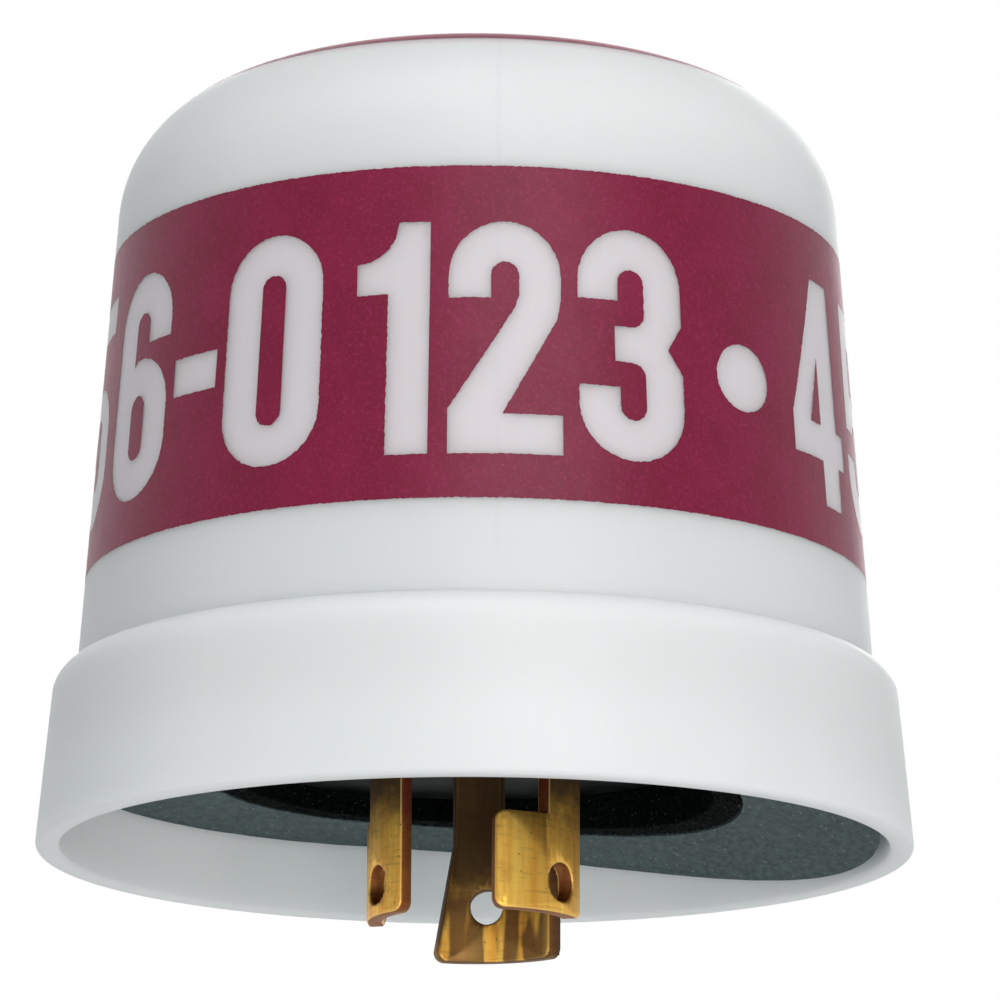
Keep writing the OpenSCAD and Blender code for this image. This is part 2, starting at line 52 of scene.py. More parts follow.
class Wire:
    def __init__(self, shading, socket):
        self.shading = shading
        self.socket = socket

    def math(self, operation, *others):
        values = dict(enumerate((self,) + others))
        return self.shading.add("Math", {"operation": operation}, values)

    def __add__(self, other):
        return self.math("ADD", other)

    def __radd__(self, other):
        return self.math("ADD", other)

    def __sub__(self, other):
        return self.math("SUBTRACT", other)

    def __rsub__(self, other):
        return self.shading.add("Math", {"operation": "SUBTRACT"}, {0: other, 1: self})

    def __mul__(self, other):
        return self.math("MULTIPLY", other)

    def __rmul__(self, other):
        return self.math("MULTIPLY", other)

    def __pow__(self, power):
        return self.math("POWER", power)

    def __abs__(self):
        return self.math("ABSOLUTE")

    def step(self, start, end):  # 0 up to start, 1 from end on, smooth between
        return self.shading.add("MapRange", {"interpolation_type": "SMOOTHSTEP"},
                                {"Value": self, "From Min": start, "From Max": end})


class Shading:
    def __init__(self, tree):
        self.tree = tree
        self.tree.nodes.clear()

    def add(self, kind, settings=None, sockets=None, out=0):
        made = self.tree.nodes.new("ShaderNode" + kind)
        for key, value in (settings or {}).items():
            setattr(made, key, value)
        for key, value in (sockets or {}).items():
            if isinstance(value, Wire):
                self.tree.links.new(made.inputs[key], value.socket)
            else:
                made.inputs[key].default_value = value
        return Wire(self, made.outputs[out]) if out is not None else None

    def blend(self, share, first, second):  # mixes two colours
        return self.add("Mix", {"data_type": "RGBA"}, {0: share, 6: first, 7: second}, out=2)

    def seen(self):  # 1 where the camera, a reflection or a clear piece looks, 0 for light that is cast
        rays = (self.add("LightPath", out=ray) for ray in ("Is Glossy Ray", "Is Transmission Ray"))
        return sum(rays, self.add("LightPath", out="Is Camera Ray"))


class Finish(Shading):
    def __init__(self, name):
        self.material = bpy.data.materials.new(name)
        self.material.use_nodes = True
        super().__init__(self.material.node_tree)
        self.spot = self.add("TexCoord", out="Object")
        self.x, self.y, self.z = (self.add("SeparateXYZ", None, {0: self.spot}, out) for out in (0, 1, 2))

    def stretched(self, scale):  # object coordinates scaled by axis
        return self.add("Mapping", None, {"Vector": self.spot, "Scale": scale})

    def grain(self, scale, detail=3.0, roughness=0.5, where=None):
        return self.add("TexNoise", None, {"Vector": where or self.spot, "Scale": scale,
                                           "Detail": detail, "Roughness": roughness})

    def cells(self, scale, where=None):
        return self.add("TexVoronoi", None, {"Vector": where or self.spot, "Scale": scale})

    def fromAxis(self):  # distance from the upright axis
        return (self.x * self.x + self.y * self.y) ** 0.5

    def bump(self, height, depth, strength=1.0):
        return self.add("Bump", None, {"Height": height, "Distance": depth, "Strength": strength})

    def principled(self, **sockets):
        names = {"colour": "Base Color", "rough": "Roughness", "metal": "Metallic", "normal": "Normal",
                 "coat": "Coat Weight", "gloss": "Specular IOR Level", "under": "Subsurface Weight",
                 "underRadius": "Subsurface Radius", "underScale": "Subsurface Scale",
                 "glow": "Emission Color", "glowPower": "Emission Strength"}
        shader = self.add("BsdfPrincipled", None, {names[key]: value for key, value in sockets.items()})
        self.add("OutputMaterial", None, {"Surface": shader}, out=None)
        return self.material


def tone(red, green, blue):  # a colour as seen on screen, made linear
    def linear(value):
        share = value / 255
        return share / 12.92 if share <= 0.04045 else ((share + 0.055) / 1.055) ** 2.4
    return (linear(red), linear(green), linear(blue), 1.0)


# Mesh helpers

def everything(bm):
    return bm.verts[:] + bm.edges[:] + bm.faces[:]


class Pen:  # draws in the XZ plane, with extrude for lines and spin for arcs
    weld = 1e-4

    def __init__(self):
        self.bm = bmesh.new()

    def move(self, x, z):
        self.start = (x, z)
        self.tip = self.bm.verts.new((x, 0, z))

    def line(self, x, z):
        self.tip = bmesh.ops.extrude_vert_indiv(self.bm, verts=[self.tip])["verts"][0]
        self.tip.co = Vector((x, 0, z))

    def arc(self, x, z, degrees, steps):  # about a centre, anticlockwise where positive
        turned = bmesh.ops.spin(self.bm, geom=[self.tip], cent=(x, 0, z), axis=(0, -1, 0),
                                angle=math.radians(degrees), steps=steps, use_duplicate=False)
        self.tip = next(item for item in turned["geom_last"] if isinstance(item, bmesh.types.BMVert))

    def close(self):
        self.line(*self.start)

    def path(self, *points):
        for point in points:
            self.line(*point)

    def finer(self, longest):  # cuts long edges into short ones
        for edge in self.bm.edges[:]:
            cuts = int(edge.calc_length() / longest)
            if cuts > 0:
                bmesh.ops.subdivide_edges(self.bm, edges=[edge], cuts=cuts)

    def fill(self):
        bmesh.ops.remove_doubles(self.bm, verts=self.bm.verts[:], dist=self.weld)
        bmesh.ops.triangle_fill(self.bm, use_beauty=True, edges=self.bm.edges[:], normal=(0, -1, 0))
        return self.bm

    def revolve(self, steps):
        bm = self.bm
        bmesh.ops.remove_doubles(bm, verts=bm.verts[:], dist=self.weld)
        bmesh.ops.spin(bm, geom=bm.verts[:] + bm.edges[:], cent=(0, 0, 0), axis=(0, 0, 1),
                       angle=math.tau, steps=steps, use_merge=True, use_duplicate=False)
        bmesh.ops.remove_doubles(bm, verts=bm.verts[:], dist=self.weld)
        bmesh.ops.recalc_face_normals(bm, faces=bm.faces[:])
        return bm


def upright(bm, pitch):  # cuts a flat sheet into upright strips, so that it can be bent
    low = min(vert.co.x for vert in bm.verts)
    high = max(vert.co.x for vert in bm.verts)
    for strip in range(math.floor(low / pitch) + 1, math.ceil(high / pitch)):
        bmesh.ops.bisect_plane(bm, geom=everything(bm), dist=1e-6, plane_co=(strip * pitch, 0, 0),
                               plane_no=(1, 0, 0))


def around(radius, turn, z):  # turn is from the front towards the right, in radians
    return Vector((radius * math.sin(turn), -radius * math.cos(turn), z))


def faceOut(bm):  # an open sheet round the axis: turns over the faces that look inwards
    bm.normal_update()
    wrong = [face for face in bm.faces if face.normal.xy.dot(face.calc_center_median().xy) < 0]
    bmesh.ops.reverse_faces(bm, faces=wrong)


def newPiece(name, bm, material, sharp=30.0):
    bmesh.ops.scale(bm, vec=(mm, mm, mm), verts=bm.verts[:])
    for edge in bm.edges:
        edge.smooth = edge.calc_face_angle(0.0) < math.radians(sharp)
    for face in bm.faces:
        face.smooth = True
    mesh = bpy.data.meshes.new(name)
    bm.to_mesh(mesh)
    bm.free()
    mesh.materials.append(material)
    piece = bpy.data.objects.new(name, mesh)
    scene.collection.objects.link(piece)
    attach(piece, "root")
    print(name, "made:", len(mesh.polygons), "faces")
    return piece


# Cover: one white moulding with a skirt, shoulder, drafted body and rounded crown

coverShape = {
    "rim": 42.0, "height": 74.4, "wall": 2.3, "lip": 0.5, "skirtHeight": 17.4, "skirtDraft": 5.1,
    "shoulder": 2.8, "shoulderStep": 2.1, "foot": 0.4, "bodyDraft": 3.9, "crown": 12.7, "steps": 256,
    "bead": 0.5, "beadHeight": 9.0,
}
ledge = coverShape["skirtHeight"] - coverShape["wall"]
skirtLean = math.radians(coverShape["skirtDraft"])
bodyLean = math.radians(coverShape["bodyDraft"])


def skirtRadius(height):
    return coverShape["rim"] - height * math.tan(skirtLean)


def bodyRadius(height):
    foot = skirtRadius(coverShape["skirtHeight"]) - coverShape["shoulderStep"]
    return foot - (height - coverShape["skirtHeight"]) * math.tan(bodyLean)


crownHeight = coverShape["height"] - coverShape["crown"]
crownInset = bodyRadius(crownHeight) - coverShape["crown"] / math.cos(bodyLean)


coverLook = {  # where each look starts and ends, in metres up the cover
    "bodyShadeStart": (0.0155, 0.0185), "bodyShadeEnd": (0.057, 0.066), "bandStart": (0.0258, 0.0262),
    "bandEnd": (0.0577, 0.0581), "crownEdge": (0.071, 0.0726), "seamStart": (0.019, 0.022),
    "seamSide": (-0.03, -0.02), "seamAt": 0.0019, "seamWidth": (0.0001, 0.0005),
}


def coverFinish():
    look = coverLook
    skin = Finish("coverPlastic")
    flow = skin.grain(26.0, 3.0, where=skin.stretched((1.0, 1.0, 0.25)))
    peel = skin.grain(420.0, 2.0)
    fine = skin.grain(2600.0, 2.0)
    white = skin.blend(flow.step(0.35, 0.7), tone(228, 231, 230), tone(235, 237, 236))
    body = skin.z.step(*look["bodyShadeStart"]) * (1 - skin.z.step(*look["bodyShadeEnd"]))
    white = skin.blend(body * 0.5, white, tone(212, 215, 217))  # painted shade: the body darker, as though the dark works behind it showed through its wall
    inBand = skin.z.step(*look["bandStart"]) * (1 - skin.z.step(*look["bandEnd"]))
    white = skin.blend(inBand * 0.5, white, tone(218, 199, 206))  # painted light and shade: the bare figures pinker and darker, as light that passed the ink spreads in the plastic
    underCrown = skin.z.step(*look["crownEdge"])
    white = skin.blend(underCrown * 0.45, white, tone(212, 140, 164))  # painted light: a pink glow spread out from under the crown print
    onBody = skin.z.step(*look["seamStart"]) * (1 - skin.y.step(*look["seamSide"]))
    seam = (1 - abs(skin.x - look["seamAt"]).step(*look["seamWidth"])) * onBody  # faint mould line
    white = skin.blend(seam * 0.035, white, tone(150, 156, 160))
    normal = skin.bump(peel + fine * 0.4, 0.00002, 0.5)
    return skin.principled(colour=white, rough=0.36 + peel * 0.1, normal=normal, gloss=0.3, under=1.0,
                           underRadius=(1.0, 1.1, 1.12), underScale=0.0042)


def makeCover(material):
    shape = coverShape
    wall, lip, crown, top = (shape[key] for key in ("wall", "lip", "crown", "height"))
    shoulder = shape["shoulder"]
    skirtWall = wall / math.cos(skirtLean)
    lipReach = lip / math.cos(skirtLean)
    shoulderZ = shape["skirtHeight"] - shoulder
    shoulderX = skirtRadius(shoulderZ) - shoulder / math.cos(skirtLean)
    rise = (bodyRadius(shoulderZ) - shoulderX) * math.cos(bodyLean) / shoulder
    shoulderTurn = math.degrees(bodyLean + math.acos(rise) - skirtLean)
    crownTurn = 90 - shape["bodyDraft"]
    innerLip = skirtRadius(lip) - skirtWall + lipReach
    outerLip = skirtRadius(lip) - lipReach
    beadX = skirtRadius(shape["beadHeight"]) - skirtWall
    footZ = shape["skirtHeight"] + shape["foot"]
    pen = Pen()
    pen.move(0, top - wall)
    pen.line(crownInset, top - wall)
    pen.arc(crownInset, crownHeight, -crownTurn, 16)
    pen.line(bodyRadius(ledge) - wall / math.cos(bodyLean), ledge)
    pen.line(skirtRadius(ledge) - skirtWall, ledge)
    pen.line(beadX, shape["beadHeight"] + shape["bead"])
    pen.arc(beadX, shape["beadHeight"], 180, 8)
    pen.line(innerLip - lip * math.cos(skirtLean), lip - lip * math.sin(skirtLean))
    pen.arc(innerLip, lip, 90 - shape["skirtDraft"], 6)
    pen.line(outerLip, 0)
    pen.arc(outerLip, lip, 90 + shape["skirtDraft"], 6)
    pen.line(shoulderX + shoulder * math.cos(skirtLean), shoulderZ + shoulder * math.sin(skirtLean))
    pen.arc(shoulderX, shoulderZ, shoulderTurn, 12)
    pen.line(bodyRadius(footZ), footZ)
    pen.line(crownInset + crown * math.cos(bodyLean), crownHeight + crown * math.sin(bodyLean))
    pen.arc(crownInset, crownHeight, crownTurn, 24)
    pen.line(0, top)
    cover = newPiece("coverMoulding", pen.revolve(shape["steps"]), material, 40.0)
    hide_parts("cover")


makeCover(coverFinish())


# Print on the cover: a burgundy band that leaves the numerals bare, and a burgundy crown

printShape = {
    "low": 26.03, "high": 57.93, "proud": 0.02, "strip": 1.2, "edge": 0.18, "ragged": 0.085,
    "crownEdge": 29.6, "crownSteps": 240,
    "baseline": 30.2, "figureWidth": 10.4, "figureHeight": 22.3, "stroke": 3.9,
    "run": (("4", -100.3), ("5", -80.5), ("6", -60.0), ("-", -45.5), ("0", -31.0),
            ("1", -12.2), ("2", 4.0), ("3", 22.7), (".", 42.0)),
    "repeat": 162.0, "repeats": 2, "margin": 10.0,
}


def inkFinish(name, dark, light, gloss):
    ink = Finish(name)
    mottle = ink.grain(160.0, 4.0, 0.6)
    grit = ink.grain(3000.0, 2.0, 0.6)
    speck = ink.cells(1900.0)
    peel = ink.grain(900.0, 3.0, 0.6)
    colour = ink.blend(mottle.step(0.35, 0.7), dark, light)
    colour = ink.blend(grit.step(0.5, 0.7) * 0.4, colour, tone(150, 36, 86))
    colour = ink.blend((1 - speck.step(0.06, 0.14)) * 0.2, colour, tone(176, 110, 136))
    normal = ink.bump(peel + grit * 0.5, 0.00004, 0.35)
    return ink.principled(colour=colour, rough=0.33 + peel * 0.12, normal=normal, gloss=gloss)


def drawFigure(pen, figure):  # bold narrow figures, from their lower left corner
    wide, tall, stroke = (printShape[key] for key in ("figureWidth", "figureHeight", "stroke"))
    mid = wide / 2
    inner = wide - stroke
    small = inner - mid
    low, high = mid, tall - mid
    waist = tall / 2

    def ring(bottom, top, inset):
        pen.move(inset, bottom)
        pen.line(inset, top)
        pen.arc(mid, top, -180, 14)
        pen.line(wide - inset, bottom)
        pen.arc(mid, bottom, -180, 14)

    if figure == "0":
        ring(low, high, 0)
        ring(low, high, stroke)
    elif figure == "1":
        pen.move(4.0, 0)
        pen.path((4.0, 15.4), (1.0, 15.4), (1.0, 18.4))
        pen.arc(1.0, tall, 68, 8)
        pen.path((4.9, tall), (7.9, tall), (7.9, 0))
        pen.close()
    elif figure == "2":
        pen.move(0, 0)
        pen.path((wide, 0), (wide, 3.8), (4.9, 3.8), (wide - 0.4, 13.0), (wide, 15.0), (wide, high))
        pen.arc(mid, high, 180, 14)
        pen.path((0, 14.9), (stroke, 14.9), (stroke, high))
        pen.arc(mid, high, -180, 10)
        pen.path((inner, 15.2), (inner - 0.4, 14.0), (0, 4.2))
        pen.close()
    elif figure == "3":
        pen.move(0, 7.0)
        pen.line(0, low)
        pen.arc(mid, low, 180, 14)
        pen.path((wide, 8.8), (wide - 1.5, waist), (wide, tall - 8.8), (wide, high))
        pen.arc(mid, high, 180, 14)
        pen.path((0, tall - 7.0), (stroke, tall - 7.0), (stroke, high))
        pen.arc(mid, high, -180, 10)
        pen.line(inner, waist + 3.0)
        pen.arc(mid, waist + 3.0, -90, 5)
        pen.path((3.5, waist + 3.0 - small), (3.5, waist - 3.0 + small), (mid, waist - 3.0 + small))
        pen.arc(mid, waist - 3.0, -90, 5)
        pen.line(inner, low)
        pen.arc(mid, low, -180, 10)
        pen.line(stroke, 7.0)
        pen.close()
    elif figure == "4":
        pen.move(5.2, 0)
        pen.path((9.0, 0), (9.0, 4.4), (10.8, 4.4), (10.8, 7.9), (9.0, 7.9), (9.0, tall), (5.0, tall),
                 (0, 8.3), (0, 4.4), (5.2, 4.4))
        pen.close()
        pen.move(3.2, 7.9)
        pen.path((5.2, 7.9), (5.2, 14.6))
        pen.close()
    elif figure == "5":
        pen.move(0, 7.0)
        pen.line(0, low)
        pen.arc(mid, low, 180, 14)
        pen.line(wide, 8.7)
        pen.arc(mid, 8.7, 98, 10)
        pen.path((4.1, 13.4), (4.4, 18.6), (9.8, 18.6), (9.8, tall), (1.0, tall), (0.3, 9.6),
                 (stroke, 9.6))
        pen.arc(mid, 9.6, -180, 10)
        pen.line(inner, low)
        pen.arc(mid, low, -180, 10)
        pen.line(stroke, 7.0)
        pen.close()
    elif figure == "6":
        pen.move(wide, 15.2)
        pen.line(wide, high)
        pen.arc(mid, high, 180, 14)
        pen.line(0, low)
        pen.arc(mid, low, 180, 14)
        pen.line(wide, 8.6)
        pen.arc(mid, 8.6, 98, 10)
        pen.path((stroke, 13.2), (stroke, high))
        pen.arc(mid, high, -180, 10)
        pen.line(inner, 15.2)
        pen.close()
        ring(low, 8.9, stroke)
    elif figure == "-":
        pen.move(0, 8.6)
        pen.path((5.8, 8.6), (5.8, 12.3), (0, 12.3))
        pen.close()
    elif figure == ".":
        pen.move(6.5, 9.8)
        pen.arc(3.25, 9.8, 360, 40)


def figureSpan(figure):  # where a figure starts and ends along its line
    spans = {"-": (0, 5.8), ".": (0, 6.5), "1": (1.0, 7.9), "4": (0, 10.8)}
    return spans.get(figure, (0, printShape["figureWidth"]))


bandRadius = bodyRadius((printShape["low"] + printShape["high"]) / 2)


def rough(place):  # a screen print's edge wanders a little
    return printShape["ragged"] * noise.noise(place * 3.4)


def makeCell(start, end, figure, centre):  # one width of the band, drawn flat and bent round the body
    shape = printShape
    low, high = shape["low"] - shape["baseline"], shape["high"] - shape["baseline"]
    shift = math.radians(centre) * bandRadius
    left = math.radians(start) * bandRadius - shift
    right = math.radians(end) * bandRadius - shift
    pen = Pen()
    if figure:
        drawFigure(pen, figure)
        for vert in pen.bm.verts:
            vert.co.x -= sum(figureSpan(figure)) / 2
    inside = set(pen.bm.verts)
    pen.move(left, low)
    pen.path((right, low), (right, high), (left, high))
    pen.close()
    for edge in pen.bm.edges[:]:
        cuts = int(edge.calc_length() / shape["edge"])
        onSeam = abs(edge.verts[0].co.x - edge.verts[1].co.x) < 1e-6 and not inside.issuperset(edge.verts)
        if cuts and not onSeam:
            bmesh.ops.subdivide_edges(pen.bm, edges=[edge], cuts=cuts)
    for vert in pen.bm.verts:
        place = around(bandRadius, (vert.co.x + shift) / bandRadius, vert.co.z)
        if left + 1e-4 < vert.co.x < right - 1e-4:
            vert.co.x += rough(place + Vector((0, 0, 70)))
        vert.co.z += rough(place)
    bm = pen.fill()
    upright(bm, shape["strip"])
    for vert in bm.verts:
        z = vert.co.z + shape["baseline"]
        vert.co = around(bodyRadius(z) + shape["proud"], (vert.co.x + shift) / bandRadius, z)
    return bm


def makeBand(material):
    shape = printShape
    run = [(figure, turn + lap * shape["repeat"]) for lap in range(shape["repeats"])
           for figure, turn in shape["run"]]
    spans = [figureSpan(figure) for figure, _ in run]
    halves = [math.degrees((right - left) / 2 / bandRadius) for left, right in spans]
    lefts = [turn - half for (_, turn), half in zip(run, halves)]
    rights = [turn + half for (_, turn), half in zip(run, halves)]
    start, end = lefts[0] - shape["margin"], rights[-1] + shape["margin"]
    edges = [start] + [(right + left) / 2 for right, left in zip(rights, lefts[1:])] + [end]
    whole = bmesh.new()
    cells = [(edges[place], edges[place + 1], figure, turn) for place, (figure, turn) in enumerate(run)]
    cells.append((end, start + 360, None, (end + start + 360) / 2))
    for cell in cells:
        bm = makeCell(*cell)
        mesh = bpy.data.meshes.new("cell")
        bm.to_mesh(mesh)
        bm.free()
        whole.from_mesh(mesh)
        bpy.data.meshes.remove(mesh)
    bmesh.ops.remove_doubles(whole, verts=whole.verts[:], dist=1e-3)
    faceOut(whole)
    newPiece("bandPrint", whole, material, 180.0)


def makeCrownPrint(material):
    shape = printShape
    reach = coverShape["crown"] + shape["proud"]
    turn = math.degrees(math.acos((shape["crownEdge"] - crownInset) / reach))
    pen = Pen()
    pen.move(0, crownHeight + reach)
    pen.line(crownInset, crownHeight + reach)
    pen.arc(crownInset, crownHeight, turn - 90, 10)
    bm = pen.revolve(shape["crownSteps"])
    newPiece("crownPrint", bm, material, 180.0)


makeBand(inkFinish("bandInk", tone(113, 10, 47), tone(123, 16, 55), 0.24))
# the crown ink is a little lighter than the band's: thinner ink on a lighter ground, and partly painted
# sheen
makeCrownPrint(inkFinish("crownInk", tone(117, 12, 50), tone(127, 18, 58), 0.07))


# Bowed fibre washer and the foam ring in its hole

sealShape = {
    "bowRadius": 118.0, "bowTurn": 16.0, "baseHeight": 9.6,
    "washerInner": 25.7, "washerOuter": 38.75, "washerHeight": 7.3, "washerThick": 0.8,
    "washerSteps": 360, "washerRagged": 0.07, "washerWave": 0.03,
    "foamInner": 22.8, "foamOuter": 25.4, "foamHeight": 7.3, "foamSteps": 660, "foamCell": 2.3,
    "foamPore": 0.22,
}


def bowDrop(place):
    turn = math.radians(sealShape["bowTurn"])
    reach = max(0.0, place.x * math.cos(turn) + place.y * math.sin(turn))
    return sealShape["bowRadius"] - math.sqrt(sealShape["bowRadius"] ** 2 - reach ** 2)


def fibreFinish():
    fibre = Finish("slateFibre")
    grain = fibre.grain(1700.0, 5.0, 0.7, where=fibre.stretched((1.0, 0.4, 1.0)))
    strands = fibre.grain(1500.0, 3.0, 0.6, where=fibre.stretched((0.6, 1.0, 1.0)))
    cloud = fibre.grain(110.0, 3.0)
    flecks = fibre.cells(1000.0, where=fibre.stretched((1.0, 0.5, 1.0)))
    dark = fibre.blend((grain * 0.8 + strands * 0.2).step(0.34, 0.66), tone(44, 57, 58), tone(74, 90, 91))
    dark = fibre.blend(cloud.step(0.35, 0.7) * 0.25, dark, tone(84, 98, 98))
    colour = fibre.blend((1 - flecks.step(0.07, 0.16)) * 0.45, dark, tone(160, 168, 164))
    normal = fibre.bump(grain + strands * 0.3, 0.00005, 0.7)
    return fibre.principled(colour=colour, rough=0.62 + cloud * 0.15, normal=normal, gloss=0.2)


def foamFinish():
    foam = Finish("blackFoam")
    pore = foam.cells(2300.0)
    speck = foam.cells(1600.0)
    colour = foam.blend(pore.step(0.2, 0.6), tone(2, 4, 4), tone(13, 18, 17))
    colour = foam.blend((1 - speck.step(0.07, 0.16)) * 0.45, colour, tone(100, 112, 108))
    normal = foam.bump(pore, 0.00015, 1.0)
    return foam.principled(colour=colour, rough=0.75, normal=normal, gloss=0.02)


def makeWasher(material):
    shape = sealShape
    low, high = shape["washerHeight"], shape["washerHeight"] + shape["washerThick"]
    pen = Pen()
    pen.move(shape["washerInner"], low)
    pen.path((shape["washerOuter"], low), (shape["washerOuter"], high), (shape["washerInner"], high))
    pen.close()
    pen.finer(0.5)
    bm = pen.revolve(shape["washerSteps"])
    for vert in bm.verts:
        flat = Vector((vert.co.x, vert.co.y, 0))
        edge = min(flat.length - shape["washerInner"], shape["washerOuter"] - flat.length)
        ragged = shape["washerRagged"] * noise.noise(flat * 1.9) if edge < 0.3 else 0.0
        vert.co.z += shape["washerWave"] * noise.noise(flat * 0.35) - bowDrop(flat)
        vert.co.xy *= 1 + ragged / flat.length
    washer = newPiece("washerSheet", bm, material, 50.0)
    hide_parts("fibre_washer")


def makeFoam(material):
    shape = sealShape
    low, high = shape["foamHeight"], shape["baseHeight"]
    pen = Pen()
    pen.move(shape["foamInner"], high)
    pen.path((shape["foamInner"], low), (shape["foamOuter"], low), (shape["foamOuter"], high))
    pen.close()
    pen.finer(0.24)
    bm = pen.revolve(shape["foamSteps"])
    bm.normal_update()
    moved = {}
    for vert in bm.verts:
        distances = noise.voronoi(vert.co * shape["foamCell"])[0]
        pore = min(1.0, (distances[1] - distances[0]) * 2.2) * shape["foamPore"]
        fall = (high - vert.co.z) / (high - low)
        sunk = vert.normal * pore if fall > 0.01 else Vector()
        moved[vert] = vert.co - Vector((0, 0, fall * bowDrop(vert.co))) - sunk
    for vert, place in moved.items():
        vert.co = place
    foam = newPiece("foamRing", bm, material, 180.0)
    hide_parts("foam_gasket")


makeWasher(fibreFinish())
makeFoam(foamFinish())


# Twist-lock blades: stamped brass, bent to one circle

bladeShape = {
    "inner": 8.7, "outer": 10.3, "tabTop": 2.7, "ear": 0.8, "earHeight": 1.6, "tail": 2.4,
    "tailTop": 26.9, "corner": 1.0, "notch": 0.35, "holeDrop": 3.6, "strip": 0.4, "burr": 0.16,
    "curlReach": 2.4,
}
bendRadius = (bladeShape["inner"] + bladeShape["outer"]) / 2
bladeSet = [
    {"node": "line_blade", "turn": 77.5, "shank": 5.7, "tab": 5.4, "drop": 6.6, "flare": 0.0,
     "hole": 3.7, "inset": 3.9, "curl": 0.0},
    {"node": "load_blade", "turn": -42.5, "shank": 5.7, "tab": 5.4, "drop": 6.6, "flare": 0.0,
     "hole": 3.7, "inset": 3.9, "curl": 0.5},
    {"node": "neutral_blade", "turn": 192.07, "shank": 4.8, "tab": 6.3, "drop": 9.0, "flare": 1.8,
     "hole": 3.4, "inset": 3.3, "curl": 0.0},
]


def brassFinish():
    brass = Finish("bladeBrass")
    drawn = brass.grain(1100.0, 4.0, 0.6, where=brass.stretched((1.0, 1.0, 0.06)))
    across = brass.grain(1500.0, 3.0, 0.6, where=brass.stretched((0.2, 0.2, 2.0)))
    stain = brass.grain(230.0, 5.0, 0.68)
    cloud = brass.grain(330.0, 4.0, 0.6)
    bands = brass.grain(420.0, 2.0, where=brass.stretched((1.0, 1.0, 0.2)))
    spots = brass.cells(1000.0)
    fromBend = abs(brass.fromAxis() - bendRadius * mm)
    sheared = 1 - fromBend.step(0.0006, 0.00072)
    behind = brass.y.step(0.004, 0.006)
    arris = fromBend.step(0.00066, 0.00074) * (1 - fromBend.step(0.00076, 0.0008))
    burnishAndHighlight = arris * (1 - behind * 0.8)  # burnished where hands and the socket rub, with painted highlight along the edges, far weaker on the back blade
    # real tarnish from the stain noise, and painted shade: darker up towards the cover and on the back
    # blade
    tarnishAndShade = (brass.z * 140.0 + stain * 1.2 - 0.5 + behind * 0.85).step(0.0, 1.0)
    # painted reflection: dark upright streaks low on the back blade
    banded = behind * (1 - brass.z.step(-0.0035, -0.001)) * bands.step(0.44, 0.54)
    clean = brass.blend(drawn.step(0.3, 0.7), tone(234, 166, 64), tone(255, 208, 96))
    clean = brass.blend(across.step(0.55, 0.66) * 0.3, clean, tone(150, 100, 50))
    clean = brass.blend(cloud.step(0.5, 0.75) * 0.45, clean, tone(184, 122, 52))
    colour = brass.blend(tarnishAndShade * 0.95, clean, tone(68, 50, 33))
    colour = brass.blend(banded * 0.85, colour, tone(94, 62, 38))
    cut = brass.blend(behind, tone(112, 40, 26), tone(88, 58, 34))
    colour = brass.blend(sheared * (0.65 + stain * 0.4), colour, cut)
    colour = brass.blend(burnishAndHighlight * 0.55, colour, tone(252, 216, 138))
    colour = brass.blend((1 - spots.step(0.05, 0.13)) * 0.75, colour, tone(58, 38, 24))
    normal = brass.bump(drawn + across * 0.5, 0.00003, 0.5)
    dull = 0.34 + stain * 0.2 + tarnishAndShade * 0.12 + sheared * 0.1
    return brass.principled(colour=colour, metal=0.72, rough=dull, normal=normal)


def drawBlade(blade):  # developed outline: x runs along the bend from the trailing edge
    shape = bladeShape
    corner, notch, top = shape["corner"], shape["notch"], shape["tabTop"]
    lead = -blade["shank"]
    tip = lead - blade["tab"]
    low = -blade["drop"]
    ears = ledge + shape["earHeight"]
    tailLeft, tailRight = (lead / 2 + side * shape["tail"] / 2 for side in (-1, 1))
    pen = Pen()
    pen.move(tip, low + corner)
    pen.arc(tip + corner, low + corner, 90, 8)
    pen.line(blade["flare"] - corner, low)
    pen.arc(blade["flare"] - corner, low + corner, 90, 8)
    pen.path((0, top), (0, ledge), (shape["ear"], ledge), (shape["ear"], ears), (tailRight, ears),
             (tailRight, shape["tailTop"]), (tailLeft, shape["tailTop"]), (tailLeft, ears),
             (lead - shape["ear"], ears), (lead - shape["ear"], ledge), (lead, ledge),
             (lead, top + notch))
    pen.arc(lead - notch, top + notch, -90, 5)
    pen.line(tip + corner, top)
    pen.arc(tip + corner, top - corner, 90, 8)
    pen.close()
    pen.move(blade["hole"] / 2 - blade["inset"], -shape["holeDrop"])
    pen.arc(-blade["inset"], -shape["holeDrop"], 360, 40)
    return pen


